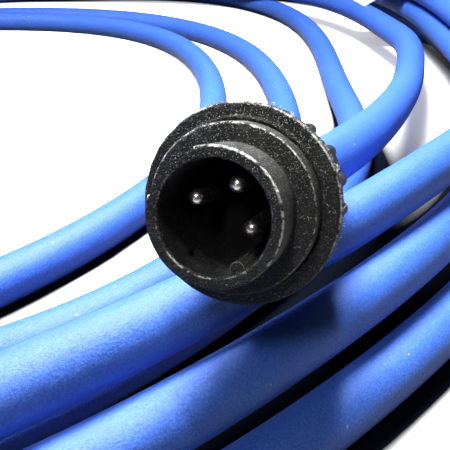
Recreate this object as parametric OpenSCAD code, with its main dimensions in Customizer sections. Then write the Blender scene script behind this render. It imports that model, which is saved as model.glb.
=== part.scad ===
// Coiled microphone cable: a thick blue cable wound in six and a half laps, held by one wrap of tape,
// with a three-pin plug lying on the near side of the coil and a three-hole socket plug on the floor.
// Millimetres, +Z up, the floor is z = 0.

/* [Cable and coil] */
// Outside diameter of the cable
cable_d = 13; // [12:0.1:14]
// Reach of the first lap from the middle of the coil, to the right
first_right = 155; // [150:1:165]
// Reach of the first lap away from the plug
first_far = 174; // [170:1:185]
// Reach of the first lap towards the plug
first_near = 179; // [175:1:190]
// Reach of the first lap to the left
first_left = 135; // [130:1:145]
// Laps from the socket plug to where the plug's own length begins
coil_laps = 6.45; // [6.4:0.01:6.5]
// Length of the tape that holds the laps together
tie_w = 33; // [20:1:36]
// Thickness of that tape's wrap
tie_t = 1.2; // [0.8:0.1:1.4]

/* [Plugs] */
// Outside diameter of the plug's open shroud
shroud_d = 19; // [18.8:0.1:19.4]
// Bore of the shroud
shroud_bore = 15.5; // [15.3:0.1:15.8]
// Depth of that bore down to the insulator
shroud_deep = 15.8; // [15:0.1:17]
// Length of shroud that stands in front of the collar
shroud_proud = 7.3; // [6.5:0.1:9]
// Diameter of the stepped collar
collar_d = 24.6; // [23.8:0.1:25.4]
// Diameter of the flange in front of the grip
flange_d = 30.1; // [29.7:0.1:30.6]
// Diameter over the ribs of the grip
grip_d = 28.8; // [28.2:0.1:29.2]
// Ribs round the grip
rib_count = 18; // [9:1:24]
// Diameter of the contact pins
pin_d = 2.4; // [2.2:0.05:2.5]
// Radius of the circle that the three contacts stand on
pin_circle_r = 4.4; // [4.2:0.05:4.5]
// Diameter of the socket plug's nose
nose_d = 15.2; // [15.1:0.05:15.3]
// Travel of the latch button
latch_travel = 1.8; // [1.4:0.1:2]
// Diameter of the boot where the cable leaves it
boot_d = 16; // [15.8:0.1:16.4]

/* [Hidden] */
$fn = 64;
eps = 0.01;
fit = 0.05;

// ---- Coil: how far outside the first lap each lap runs, in cable diameters
right_out = [0, 2.5, 4.7, 10.5, 9.2, 9.4, 7.5];
far_out = [0, 1.1, 8.3, 9.8, 9.3, 8.6, 6.7];
near_out = [0, 1.1, 3.5, 6.2, 5.6, 5, 4.1];
left_out = [0, 1.35, 2.45, 3.55, 4.6, 4.2, 3.7, 3.3];
// How full each lap's corner is, as a share added to its reach
far_corner = [0.05, 0.05, 0.21, 0.21, 0.19, 0.17, 0.14];
near_corner = [-0.01, 0.04, -0.03, -0.05, -0.06, -0.09, -0.07];
left_corner = 0.05;
// Lap and layer where a climb starts or ends; the plug weighs lap 5 down a little
climbs = [[3.8, 0], [4.15, 1], [4.8, 1], [5.15, 2], [5.585, 2], [5.62, 1.8], [5.68, 1.8], [5.72, 1.97], [5.8, 2],
    [6.13, 2.95], [6.26, 1.1]];
layer_rise = 1.04 * cable_d;
strand_z = 0.4 * cable_d;
rings_per_lap = 24;
cable_r = cable_d / 2;

// ---- Tape: its place as a share of a lap, from lap 3 up, and the lift that lets it pass below
tie_at = 0.43;
tie_gap = 1.1;
tie_first_lap = 3;
tie_ramp = 0.1;
tie_lift = cable_r - strand_z + tie_t + tie_gap + 0.2;

// ---- Contacts, seen from the open end: the catch, the key and the three pins
catch_a = 119;
key_a = catch_a - 52;
pin_angles = [catch_a - 90, catch_a + 90, catch_a + 180];
nose_top_a = 90;
nose_key_a = nose_top_a + 52;
socket_angles = [nose_top_a + 90, nose_top_a - 90, nose_top_a + 180];

// ---- Plug, along its own axis from the rim back
collar_l = 4;
nose_collar_l = 5;
ring_l = 5.2;
spigot_d = 22;
spigot_l = 12.7;
insert_d = 17.2;
rear_bore = insert_d + 0.2;
male_back = shroud_proud + collar_l;
nose_l = shroud_deep;
female_back = nose_l + ring_l + nose_collar_l;
cavity_r = 9.3;
cable_from = 21.7;
plug_tail = 50.7;
through = 60;
// The socket plug's latch slot starts behind a full round at the nose's front, and the nose is slimmer there
latch_slot_from = 6.4;
nose_land = latch_slot_from - 0.1;
nose_relief = 0.2;

// ---- Where the plug lies: under its boot passes lap 5 of the coil
plug_turn = [0, 109.4, 70.3];
plug_roll = 259.8;
plug_rest_lap = 5.6284;
plug_rest_back = 43.9;
plug_above = 17.8;
plug_axis = [sin(plug_turn.y) * cos(plug_turn.z), sin(plug_turn.y) * sin(plug_turn.z), cos(plug_turn.y)];

// ---- Where the socket plug lies: flat, latch up, inside the first lap
nose_from_start = [100, -122];
nose_turn = 233;
nose_axis = [sin(nose_turn), -cos(nose_turn), 0];

// ---- Vectors and tubes
function unit(v) = v / norm(v);
function heading(path, i) = unit(path[min(i + 1, len(path) - 1)] - path[max(i - 1, 0)]);
function above_floor(p) = [p.x, p.y, max(p.z, 0)];

// One ring of points square to the path, with a flat side below
function ring(path, i, r, sides) =
    let (along = heading(path, i), side = unit(cross(along, [0, 0, 1])), up = cross(side, along))
    [for (k = [0:sides - 1]) above_floor(path[i] + r * (cos(360 * k / sides) * side + sin(360 * k / sides) * up))];

// A closed tube of triangles along a path
module tube(path, r, sides) {
    last = len(path) - 1;
    corners = [for (i = [0:last]) each ring(path, i, r, sides)];
    walls = [for (i = [0:last - 1], k = [0:sides - 1], half = [0, 1])
        let (a = i * sides + k, b = i * sides + (k + 1) % sides)
        half == 0 ? [a, b, b + sides] : [a, b + sides, a + sides]];
    end = last * sides;
    first_cap = [for (k = [1:sides - 2]) [0, k + 1, k]];
    last_cap = [for (k = [1:sides - 2]) [end, end + k, end + k + 1]];
    polyhedron(corners, concat(walls, first_cap, last_cap), convexity = 10);
}

// A smooth curve through all points but the first and the last, which only set its ends' headings
function through(p, u) =
    0.5 * (2 * p[1] + (p[2] - p[0]) * u + (2 * p[0] - 5 * p[1] + 4 * p[2] - p[3]) * u * u
        + (3 * p[1] - p[0] - 3 * p[2] + p[3]) * u * u * u);
function smooth(points, steps) =
    concat([for (i = [1:len(points) - 3], j = [0:steps - 1])
        through([points[i - 1], points[i], points[i + 1], points[i + 2]], j / steps)],
        [points[len(points) - 2]]);
// The same curve with its straight ends
function laid(points, steps) = concat([points[0]], smooth(points, steps), [points[len(points) - 1]]);

// ---- Coil
function by_lap(out, at, lap) = lookup(lap, [for (i = [0:len(out) - 1]) [i + at, out[i]]]);
function layer_z(lap) = strand_z + layer_rise * lookup(lap, climbs);
function lap_share(lap) = lap - floor(lap);
function tie_rise(lap) =
    lap < tie_first_lap || lap > tie_first_lap + 3 ? 0
    : tie_lift * max(0, min(1, 1.5 * (1 - abs(lap_share(lap) - tie_at) / tie_ramp)));

// Seen from above the laps run clockwise from the left
function coil_point(lap) =
    let (a = 180 - 360 * lap,
         right = cos(a) > 0,
         far = sin(a) > 0,
         reach_x = right ? first_right + cable_d * by_lap(right_out, 0.5, lap)
             : first_left + cable_d * by_lap(left_out, 0, lap),
         reach_y = far ? first_far + cable_d * by_lap(far_out, 0.25, lap)
             : first_near + cable_d * by_lap(near_out, 0.75, lap),
         corner = !right ? left_corner
             : far ? by_lap(far_corner, 0.375, lap) : by_lap(near_corner, 0.625, lap),
         full = 1 + corner * pow(sin(2 * a), 2))
    [reach_x * cos(a) * full, reach_y * sin(a) * full, layer_z(lap) + tie_rise(lap)];

ring_count = round(coil_laps * rings_per_lap);
wound = [for (i = [0:ring_count]) coil_point(coil_laps * i / ring_count)];
// A place on the straight run between two rings
function on_tube(lap) =
    let (i = lap * ring_count / coil_laps, k = floor(i))
    wound[k] + (i - k) * (wound[k + 1] - wound[k]);

coil_start = wound[0] - cable_d * unit(wound[1] - wound[0]);
coil_end = wound[ring_count] + cable_d * unit(wound[ring_count] - wound[ring_count - 1]);
coil_path = concat([coil_start], wound, [coil_end]);

// The middle of everything stands over the origin
coil_xs = [for (p = coil_path) p.x];
coil_ys = [for (p = coil_path) p.y];
middle = [(min(coil_xs) + max(coil_xs)) / 2, (min(coil_ys) + max(coil_ys)) / 2, 0];

// Least gap between two turns of the coil, measured between ring centres and points halfway
gap_points = [for (i = [0:len(coil_path) - 2]) each [coil_path[i], (coil_path[i] + coil_path[i + 1]) / 2]];
skipped = rings_per_lap;
least_gap = min([for (i = [0:len(gap_points) - skipped - 1], j = [i + skipped:len(gap_points) - 1])
    norm(gap_points[i] - gap_points[j])]) - cable_d;
echo(least_gap_of_coil_to_itself = least_gap);

// ---- Places of the two plugs
rest_point = on_tube(plug_rest_lap);
plug_rim = rest_point - plug_rest_back * plug_axis + [0, 0, plug_above];
male_tail = plug_rim + (male_back + plug_tail) * plug_axis;
nose_rim = [wound[0].x + nose_from_start.x, wound[0].y + nose_from_start.y, flange_d / 2];
female_tail = nose_rim + (female_back + plug_tail) * nose_axis;

// Hand-laid points of the two free lengths, each from the end that it belongs to
lead_from_coil = [[-6, -50, 0]];
lead_from_plug = [[58, 124, -20], [43, 86, -15], [29, 54, -10], [14, 24, -5]];
female_from_tail = [[-12, 12.5, -3.5], [-20.5, 26, -8]];

module in_place() {
    translate(-middle) children();
}

module at_plug() {
    in_place() translate(plug_rim) rotate(plug_turn) rotate([0, 0, plug_roll]) children();
}

module at_nose() {
    in_place() translate(nose_rim) rotate([90, 0, nose_turn]) children();
}

// ---- Cable
module cable_coil() {
    color("royalblue") in_place() tube(coil_path, cable_r, 6);
}

module male_lead() {
    away = unit(coil_end - wound[ring_count]);
    route = concat([coil_end, coil_end + cable_d * away], [for (p = lead_from_coil) coil_end + p],
        [for (p = lead_from_plug) male_tail + p], [male_tail + cable_d * plug_axis, male_tail]);
    color("royalblue") in_place() tube(laid(route, 3), cable_r, 12);
}

module female_lead() {
    back = unit(coil_start - wound[0]);
    route = concat([female_tail, female_tail + cable_d * nose_axis], [for (p = female_from_tail) female_tail
        + cable_d * nose_axis + p], [coil_start + cable_d * back, coil_start]);
    color("royalblue") in_place() tube(laid(route, 3), cable_r, 12);
}

// ---- Tape round the laps 3, 4 and 5
module coil_tie() {
    centres = [for (lap = [0:2]) on_tube(tie_first_lap + lap + tie_at)];
    ahead = unit(on_tube(tie_first_lap + 1 + tie_at + 0.005) - centres[1]);
    across = unit([-ahead.y, ahead.x, 0]);
    spots = [for (p = centres) [(p - centres[1]) * across, p.z]];
    color("white") in_place()
        translate([centres[1].x, centres[1].y, 0])
            rotate([0, 0, atan2(ahead.y, ahead.x)])
                rotate([90, 0, 90])
                    linear_extrude(tie_w, center = true)
                        difference() {
                            hull() for (p = spots) translate(p) circle(cable_r + tie_gap + tie_t, $fn = 28);
                            hull() for (p = spots) translate(p) circle(cable_r + tie_gap, $fn = 28);
                        }
}

// ---- Rounds that both plugs share, drawn along the axis
module pipe(outer, inner, from, to) {
    translate([0, 0, from]) difference() {
        cylinder(d = outer, h = to - from);
        translate([0, 0, -1]) cylinder(d = inner, h = to - from + 2);
    }
}

// A round with its front and back edges broken
module eased_round(d, from, to, ease) {
    r = d / 2;
    rotate_extrude() polygon([[0, from], [r - ease, from], [r, from + ease], [r, to - ease],
        [r - ease, to], [0, to]]);
}

// ---- Plug: shell with shroud, collar and spigot
module shroud_recess() {
    rotate([0, 0, catch_a + 81]) rotate_extrude(angle = 58)
        translate([shroud_d / 2 - 0.45, -1]) square([2, shroud_proud + 1]);
}

module catch_groove() {
    rotate([0, 0, catch_a - 17]) rotate_extrude(angle = 34)
        translate([shroud_bore / 2 - 0.5, 4.2]) square([1.4, 3.2]);
}

module key_rib() {
    rib_w = 2.1;
    top_r = shroud_bore / 2 - 1.5 + rib_w / 2;
    rotate([0, 0, key_a]) translate([0, 0, 0.6]) {
        translate([top_r, 0, 0]) cylinder(d = rib_w, h = shroud_deep - 0.6, $fn = 24);
        translate([top_r, -rib_w / 2, 0]) cube([shroud_bore / 2 - top_r + 0.5, rib_w, shroud_deep - 0.6]);
    }
}

module male_shell() {
    color("dimgray") at_plug() {
        difference() {
            union() {
                eased_round(shroud_d, 0, male_back, 0.35);
                eased_round(collar_d, shroud_proud, male_back, 0.4);
                translate([0, 0, male_back - 1]) cylinder(d = spigot_d, h = spigot_l + 1);
            }
            translate([0, 0, -1]) cylinder(d = shroud_bore, h = shroud_deep + 1);
            translate([0, 0, -0.3]) cylinder(d1 = shroud_bore + 1.2, d2 = shroud_bore, h = 0.6);
            translate([0, 0, shroud_deep - eps]) cylinder(d = rear_bore, h = spigot_l + 5);
            shroud_recess();
            catch_groove();
        }
        key_rib();
    }
}

// ---- Ribbed grip that tapers to the boot
grip_core_r = grip_d / 2 - 1;
flange_r = flange_d / 2;
rib_l = 11;

module grip_body(back) {
    rotate_extrude() translate([0, back]) polygon([
        [spigot_d / 2 + fit, 0], [collar_d / 2 + 0.15, 0], [collar_d / 2 + 0.35, -0.25], [collar_d / 2 + 0.7, 0],
        [flange_r - 0.5, 0], [flange_r, 0.5], [flange_r, 1.7], [grip_core_r, 2.1], [grip_core_r, rib_l + 2.4],
        [grip_core_r - 0.5, rib_l + 3.2], [12.4, rib_l + 5.4], [12, 18], [10.2, 32.6], [9.6, 33.4], [8.65, 33.4],
        [8.65, 32.2], [cavity_r, 31.6], [cavity_r, 13], [spigot_d / 2 + fit, 13]]);
}

module grip_ribs(back) {
    rib_r = 1.15;
    for (k = [0:rib_count - 1])
        rotate([0, 0, 270 + 360 * k / rib_count])
            translate([grip_d / 2 - rib_r, 0, back + 1.6]) {
                cylinder(r = rib_r, h = rib_l, $fn = 16);
                translate([0, 0, rib_l]) cylinder(r1 = rib_r, r2 = 0.4, h = 1, $fn = 16);
            }
}

module backshell(back) {
    grip_body(back);
    grip_ribs(back);
}

module male_backshell() {
    color("dimgray") at_plug() backshell(male_back);
}

module female_backshell() {
    color("dimgray") at_nose() backshell(female_back);
}

// ---- Insulators and contacts
insert_l = 6.2;
cup_l = 5;
cup_d = 2.8;
cup_bore = 2;

module male_insert() {
    color("black") at_plug() difference() {
        translate([0, 0, shroud_deep]) cylinder(d = insert_d, h = insert_l);
        for (a = pin_angles) rotate([0, 0, a]) translate([pin_circle_r, 0, shroud_deep - 1])
            cylinder(d = pin_d + 2 * fit, h = insert_l + 2, $fn = 32);
    }
}

module solder_cup(from) {
    translate([0, 0, from]) difference() {
        cylinder(d = cup_d, h = cup_l, $fn = 32);
        translate([0, 0, 1.2]) cylinder(d = cup_bore, h = cup_l, $fn = 32);
        translate([-cup_d, cup_bore / 4, 2.4]) cube([2 * cup_d, cup_d, cup_l]);
    }
}

module male_pin(n) {
    tip = 4;
    pin_r = pin_d / 2;
    rotate([0, 0, pin_angles[n - 1]]) translate([pin_circle_r, 0, 0]) {
        translate([0, 0, tip + pin_r]) sphere(r = pin_r, $fn = 32);
        translate([0, 0, tip + pin_r]) cylinder(r = pin_r, h = shroud_deep + insert_l - tip - pin_r + 1, $fn = 32);
        rotate([0, 0, 180]) solder_cup(shroud_deep + insert_l);
    }
}

module male_pin_1() { color("silver") at_plug() male_pin(1); }
module male_pin_2() { color("silver") at_plug() male_pin(2); }
module male_pin_3() { color("silver") at_plug() male_pin(3); }

groove_w = 4.2;
key_w = 2.6;
insert_r = 6.9;
spring_z = 18.5;
spring_floor = 1.6;
arm_low = 6.2;
arm_w = 3.6;
pad_w = 7;
pad_from = 16.6;
pad_to = 24.2;
pad_low = arm_low + 2.6;
socket_d = 3.4;
socket_to = nose_l + ring_l + 3;

module female_insert() {
    color("black") at_nose() difference() {
        union() {
            translate([0, 0, 0.5]) cylinder(r = insert_r, h = nose_l + ring_l - 1);
            translate([0, 0, nose_l + ring_l - 0.5]) cylinder(d = insert_d, h = 3.5);
        }
        for (a = socket_angles) rotate([0, 0, a]) translate([pin_circle_r, 0, 0]) {
            translate([0, 0, 1.2]) cylinder(d = socket_d + 2 * fit, h = 30, $fn = 32);
            translate([0, 0, -1]) cylinder(d = pin_d + 0.3, h = 4, $fn = 32);
        }
        translate([-groove_w / 2, arm_low - latch_travel - 0.4, latch_slot_from]) cube([groove_w, 10, 30]);
        translate([-pad_w / 2 - 0.3, pad_low - latch_travel - 0.3, nose_l]) cube([pad_w + 0.6, 10, 20]);
        rotate([0, 0, nose_key_a]) translate([6.1, -key_w / 2, -1]) cube([3, key_w, nose_l + 1]);
        translate([0, spring_floor, spring_z]) rotate([-90, 0, 0]) cylinder(d = 3.1, h = 10, $fn = 32);
    }
}

module female_socket(n) {
    rotate([0, 0, socket_angles[n - 1]]) translate([pin_circle_r, 0, 0]) {
        pipe(socket_d, pin_d + 0.1, 1.3, socket_to - 2, $fn = 32);
        translate([0, 0, socket_to - 2 - eps]) cylinder(d = socket_d, h = 2, $fn = 32);
        rotate([0, 0, 180]) solder_cup(socket_to - 0.1);
    }
}

module female_socket_1() { color("silver") at_nose() female_socket(1); }
module female_socket_2() { color("silver") at_nose() female_socket(2); }
module female_socket_3() { color("silver") at_nose() female_socket(3); }

// ---- The three wires from the stripped cable end to the cups
module core(a, from, to) {
    rotate([0, 0, a]) translate([pin_circle_r, 0, from]) cylinder(d = cup_bore - 2 * fit, h = to - from, $fn = 24);
}

module male_core(n) {
    color("gainsboro") at_plug()
        core(pin_angles[n - 1], shroud_deep + insert_l + 1.2, male_back + cable_from);
}

module female_core(n) {
    color("gainsboro") at_nose() core(socket_angles[n - 1], socket_to + 1.1, female_back + cable_from);
}

module male_core_1() { male_core(1); }
module male_core_2() { male_core(2); }
module male_core_3() { male_core(3); }
module female_core_1() { female_core(1); }
module female_core_2() { female_core(2); }
module female_core_3() { female_core(3); }

// ---- Slit collet that grips the jacket, then the boot with its grooves
module cable_clamp(back) {
    fingers = 4;
    difference() {
        translate([0, 0, back + 18]) cylinder(r = cavity_r - fit, h = 11.5);
        translate([0, 0, back + 17]) cylinder(d = cable_d + 2 * fit, h = 14);
        for (k = [0:fingers - 1])
            rotate([0, 0, 45 + 360 * k / fingers]) translate([5, -0.5, back + 21]) cube([6, 1, 9]);
    }
}

module boot(back) {
    boot_bore_r = cable_r + 0.15;
    grooves = 4;
    groove_step = 2.5;
    groove_from = plug_tail - 10.2;
    difference() {
        rotate_extrude() translate([0, back]) polygon([
            [boot_bore_r, 29.6], [cavity_r - fit, 29.6], [cavity_r - fit, 31.5], [8.6, 32.1], [8.6, plug_tail - 12.3],
            [boot_d / 2, plug_tail - 0.5], [boot_d / 2 - 0.4, plug_tail - 0.3], [boot_bore_r, plug_tail - 0.3]]);
        for (k = [0:grooves - 1])
            translate([0, 0, back + groove_from + k * groove_step]) pipe(24, boot_d - 0.2, 0, 1.1);
    }
}

module cable_end(back) {
    translate([0, 0, back + cable_from]) cylinder(r = cable_r, h = plug_tail - cable_from);
}

module male_cable_clamp() { color("white") at_plug() cable_clamp(male_back); }
module female_cable_clamp() { color("white") at_nose() cable_clamp(female_back); }
module male_boot() { color("dimgray") at_plug() boot(male_back); }
module female_boot() { color("dimgray") at_nose() boot(female_back); }
module male_cable_end() { color("royalblue") at_plug() cable_end(male_back); }
module female_cable_end() { color("royalblue") at_nose() cable_end(female_back); }

// ---- Socket plug: nose, ring, collar and spigot, with the latch's slot and window
module female_shell() {
    color("dimgray") at_nose() difference() {
        union() {
            eased_round(nose_d, 0, nose_land, 0.3);
            translate([0, 0, 0.5]) cylinder(d = nose_d - 2 * nose_relief, h = nose_l + 0.5);
            eased_round(shroud_d, nose_l, nose_l + ring_l + 1, 0.35);
            eased_round(collar_d, nose_l + ring_l, female_back, 0.4);
            translate([0, 0, female_back - 1]) cylinder(d = spigot_d, h = spigot_l + 1);
        }
        translate([0, 0, -1]) cylinder(r = insert_r + fit, h = through);
        translate([0, 0, nose_l + ring_l - 0.5]) cylinder(d = rear_bore, h = through);
        translate([-groove_w / 2, 0, latch_slot_from]) cube([groove_w, 20, pad_from - latch_slot_from + 0.4]);
        translate([-pad_w / 2 - 0.25, 0, pad_from - 0.35]) cube([pad_w + 0.5, 20, pad_to - pad_from + 0.7]);
        rotate([0, 0, nose_key_a]) translate([5, -key_w / 2, -1]) cube([6, key_w, nose_l + 1]);
    }
}

// ---- Latch: thumb pad, stem, arm and hook, and the spring below it
module latch_button() {
    hook_h = 1;
    pad_top = collar_d / 2 + latch_travel - 0.3;
    arm_from = latch_slot_from + 0.4;
    color("dimgray") at_nose() {
        translate([-arm_w / 2, arm_low, arm_from]) cube([arm_w, 1.2, pad_to - arm_from - 0.2]);
        translate([-arm_w / 2, arm_low, pad_from + 0.2]) cube([arm_w, pad_low - arm_low + 0.5, pad_to - pad_from - 0.4]);
        translate([-arm_w / 2, 0, 0]) rotate([90, 0, 90]) linear_extrude(arm_w) polygon([
            [arm_low + 0.6, 8], [nose_d / 2, 8.2], [nose_d / 2 + hook_h, 10.2], [nose_d / 2 + hook_h, 11],
            [arm_low + 0.6, 11]]);
        difference() {
            translate([-pad_w / 2, pad_low, pad_from]) cube([pad_w, pad_top - pad_low, pad_to - pad_from]);
            for (z = [1.6:1.5:6.2])
                translate([-pad_w / 2 - 1, pad_top, pad_from + z]) rotate([45, 0, 0]) cube([pad_w + 2, 0.6, 0.6]);
        }
    }
}

module latch_spring() {
    turns = 4;
    wire_r = 0.22;
    coil_r = 1.1;
    steps = 8 * turns;
    floor_z = nose_rim.z + spring_floor + wire_r;
    free = arm_low - spring_floor - 2 * wire_r;
    axis = nose_rim + spring_z * nose_axis;
    path = [for (k = [0:steps]) [axis.x + coil_r * cos(45 * k), axis.y + coil_r * sin(45 * k),
        floor_z + free * k / steps]];
    color("silver") in_place() tube(path, wire_r, 6);
}

cable_coil();
male_lead();
female_lead();
coil_tie();
male_shell();
male_backshell();
male_insert();
male_pin_1();
male_pin_2();
male_pin_3();
male_core_1();
male_core_2();
male_core_3();
male_cable_clamp();
male_boot();
male_cable_end();
female_shell();
female_backshell();
female_insert();
female_socket_1();
female_socket_2();
female_socket_3();
female_core_1();
female_core_2();
female_core_3();
female_cable_clamp();
female_boot();
female_cable_end();
latch_button();
latch_spring();
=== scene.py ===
"""Dressed scene of a coiled microphone cable with its three-pin plug lying on the near laps."""

import logging
import math
import random
from dataclasses import dataclass, field
from enum import Enum
from typing import Callable, Sequence, Union

import bpy
import numpy as np
from mathutils import Euler, Matrix, Vector, noise


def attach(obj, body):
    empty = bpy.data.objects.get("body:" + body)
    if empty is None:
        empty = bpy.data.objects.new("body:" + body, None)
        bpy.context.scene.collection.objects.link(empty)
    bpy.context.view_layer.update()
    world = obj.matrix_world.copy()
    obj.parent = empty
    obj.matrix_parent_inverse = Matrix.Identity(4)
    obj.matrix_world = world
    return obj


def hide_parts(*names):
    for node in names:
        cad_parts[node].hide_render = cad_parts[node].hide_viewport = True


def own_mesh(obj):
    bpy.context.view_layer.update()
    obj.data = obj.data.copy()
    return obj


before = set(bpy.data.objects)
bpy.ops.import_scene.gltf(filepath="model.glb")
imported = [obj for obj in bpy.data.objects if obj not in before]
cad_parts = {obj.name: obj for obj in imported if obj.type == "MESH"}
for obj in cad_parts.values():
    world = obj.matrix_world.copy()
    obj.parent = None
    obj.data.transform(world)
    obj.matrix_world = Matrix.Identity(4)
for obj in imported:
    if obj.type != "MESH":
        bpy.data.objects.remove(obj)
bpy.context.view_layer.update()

logging.basicConfig(level=logging.INFO, format="%(message)s")
log = logging.getLogger("cable")

Pair = tuple[float, float]
Triple = tuple[float, float, float]
Face = tuple[int, ...]
Piece = bpy.types.Object
Material = bpy.types.Material
Socket = bpy.types.NodeSocket
Profile = Callable[[float, float, float], Pair]

# Sizes that several pieces share, in millimetres
MM = 0.001
TINY = 1e-9
CABLE_D = 13.0
CABLE_R = CABLE_D / 2
GRIP_R = 28.8 / 2
FLANGE_R = 30.1 / 2
MALE_BACK = 11.3
FEMALE_BACK = 26.0
PLUG_TAIL = 50.7


class Body(Enum):
    """Bodies that pieces ride on."""

    CABLE = "cable"


class Slot(Enum):
    """Material slots of the record."""

    JACKET = "cable_jacket"
    PLASTIC = "shell_plastic"
    STEEL = "spring_steel"
    TAPE = "tape"


class Op(Enum):
    """Ways to work out one value from two."""

    TIMES = "MULTIPLY"
    PLUS = "ADD"
    MOST = "MAXIMUM"


class Glow(Enum):
    """Kinds of lamp."""

    SOFT = "AREA"
    NARROW = "SPOT"


# ---------------------------------------------------------------- route of the cable


def lookup(lap: float, table: Sequence[Pair]) -> float:
    """Read a value from a table of steps, straight between them and held at its ends.

    Args:
        lap: The place to read.
        table: Rising places with their values.

    Returns:
        The value at that place.
    """
    if lap <= table[0][0]:
        return table[0][1]
    for (low, start), (high, stop) in zip(table, table[1:]):
        if lap <= high:
            return start + (stop - start) * (lap - low) / (high - low)
    return table[-1][1]


def spline(points: Sequence[Vector], steps: int) -> list[Vector]:
    """Lay a smooth curve through all points but the first and the last, which set its headings.

    Args:
        points: At least four points.
        steps: Points made for each stretch.

    Returns:
        The curve's points, with the first and the last of those given.
    """
    curve = []
    for a, b, c, d in zip(points, points[1:], points[2:], points[3:]):
        for j in range(steps):
            u = j / steps
            curve.append(0.5 * (2 * b + (c - a) * u + (2 * a - 5 * b + 4 * c - d) * u ** 2
                                + (3 * b - a - 3 * c + d) * u ** 3))
    return [points[0], *curve, points[-2], points[-1]]


def even(points: Sequence[Vector], spacing: float) -> list[Vector]:
    """Space points evenly along a line, keeping both of its ends.

    Args:
        points: The line.
        spacing: Distance wanted between points.

    Returns:
        The new points.
    """
    lengths = [0.0]
    for a, b in zip(points, points[1:]):
        lengths.append(lengths[-1] + (b - a).length)
    count = max(2, round(lengths[-1] / spacing))
    made, k = [], 0
    for i in range(count + 1):
        want = lengths[-1] * i / count
        while k < len(points) - 2 and lengths[k + 1] < want:
            k += 1
        span = max(lengths[k + 1] - lengths[k], TINY)
        made.append(points[k].lerp(points[k + 1], min(1.0, (want - lengths[k]) / span)))
    return made


def eased(points: Sequence[Vector], rounds: int) -> list[Vector]:
    """Average each point with its neighbours several times, keeping two points at each end.

    Args:
        points: The line.
        rounds: How often it is averaged.

    Returns:
        The smoother line, with as many points.
    """
    line = list(points)
    for _ in range(rounds):
        inner = (0.25 * a + 0.5 * b + 0.25 * c for a, b, c in zip(line[1:], line[2:], line[3:]))
        line = [*line[:2], *inner, *line[-2:]]
    return line


@dataclass(frozen=True)
class LapShape:
    """Reaches of the laps in millimetres and in cable diameters, as in the construction source."""

    laps: float = 6.45
    rings_per_lap: int = 24
    first_right: float = 155.0
    first_far: float = 174.0
    first_near: float = 179.0
    first_left: float = 135.0
    right_out: Sequence[float] = (0, 2.5, 4.7, 10.5, 9.2, 9.4, 7.5)
    far_out: Sequence[float] = (0, 1.1, 8.3, 9.8, 9.3, 8.6, 6.7)
    near_out: Sequence[float] = (0, 1.1, 3.5, 6.2, 5.6, 5, 4.1)
    left_out: Sequence[float] = (0, 1.35, 2.45, 3.55, 4.6, 4.2, 3.7, 3.3)
    far_corner: Sequence[float] = (0.05, 0.05, 0.21, 0.21, 0.19, 0.17, 0.14)
    near_corner: Sequence[float] = (-0.01, 0.04, -0.03, -0.05, -0.06, -0.09, -0.07)
    left_corner: float = 0.05
    # Shares of a lap at which the steps above count
    far_at: float = 0.25
    far_corner_at: float = 0.375
    right_at: float = 0.5
    near_corner_at: float = 0.625
    near_at: float = 0.75
    # Lap and layer where a climb starts or ends; the plug weighs lap 5 down a little
    climbs: Sequence[Pair] = ((3.8, 0), (4.15, 1), (4.8, 1), (5.15, 2), (5.585, 2), (5.62, 1.8), (5.68, 1.8),
                              (5.72, 1.97), (5.8, 2), (6.13, 2.95), (6.26, 1.1))
    rise: float = 1.04 * CABLE_D
    strand_z: float = 0.4 * CABLE_D
    # The tape, of which the last three numbers of the lift are thickness, gap and play
    tie_at: float = 0.43
    tie_first_lap: int = 3
    tie_laps: int = 3
    tie_ramp: float = 0.1
    tie_crown: float = 1.5
    tie_lift: float = CABLE_R - 0.4 * CABLE_D + 1.2 + 1.1 + 0.2


@dataclass(frozen=True)
class PlugPlace:
    """Where a plug lies: its rim's middle in millimetres and the turn of its own axes."""

    rim: Vector
    turn: Matrix
    length: float

    @property
    def axis(self) -> Vector:
        """Heading from the rim to the tail."""
        return self.turn @ Vector((0, 0, 1))

    @property
    def tail(self) -> Vector:
        """Where the cable leaves the plug."""
        return self.rim + self.length * self.axis

    def world(self, p: Vector) -> Vector:
        """Turn a point of the plug, in millimetres, into metres in the row's frame."""
        return (self.rim + self.turn @ p) * MM


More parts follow.
